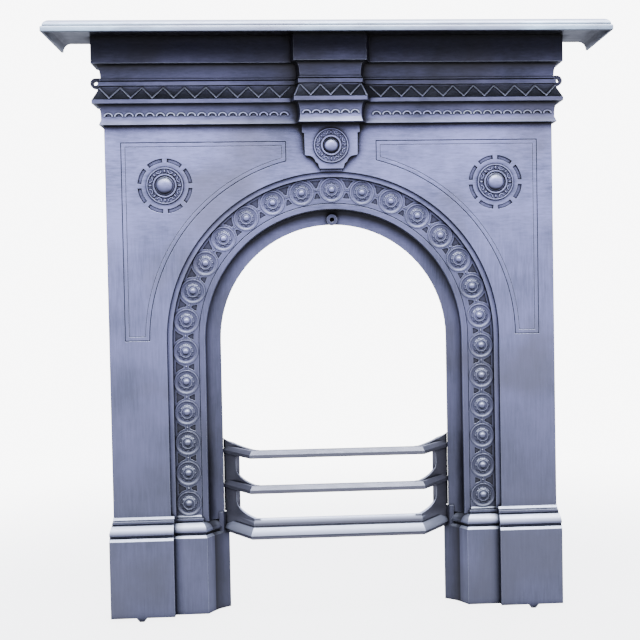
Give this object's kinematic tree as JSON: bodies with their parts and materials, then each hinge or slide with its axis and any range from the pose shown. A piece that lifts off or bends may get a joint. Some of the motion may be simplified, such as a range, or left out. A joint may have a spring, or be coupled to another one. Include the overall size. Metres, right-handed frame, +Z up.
{
  "type": "fireplace surround",
  "caption": "Arched cast-iron fireplace surround with a rosette band, moulded frieze and console, plinths, a projecting mantel shelf and a set of front bars.",
  "frame": {"origin": "on the floor, under the middle of the bounding box", "axes": "+X to the viewer's right, -Y toward the room, +Y toward the wall, +Z up"},
  "size_m": [0.862, 0.15, 0.934],
  "materials": {
    "burnished_iron": "burnished cast iron with a blue-grey sheen, darker in the hollows",
    "shelf_iron": "burnished cast iron, brighter on the moulded edge",
    "bar_iron": "matte cast iron with worn noses"
  },
  "bodies": {
    "root": {"surround": "burnished_iron", "mantel_shelf": "shelf_iron", "front_bars": "bar_iron"}
  },
  "joints": []
}
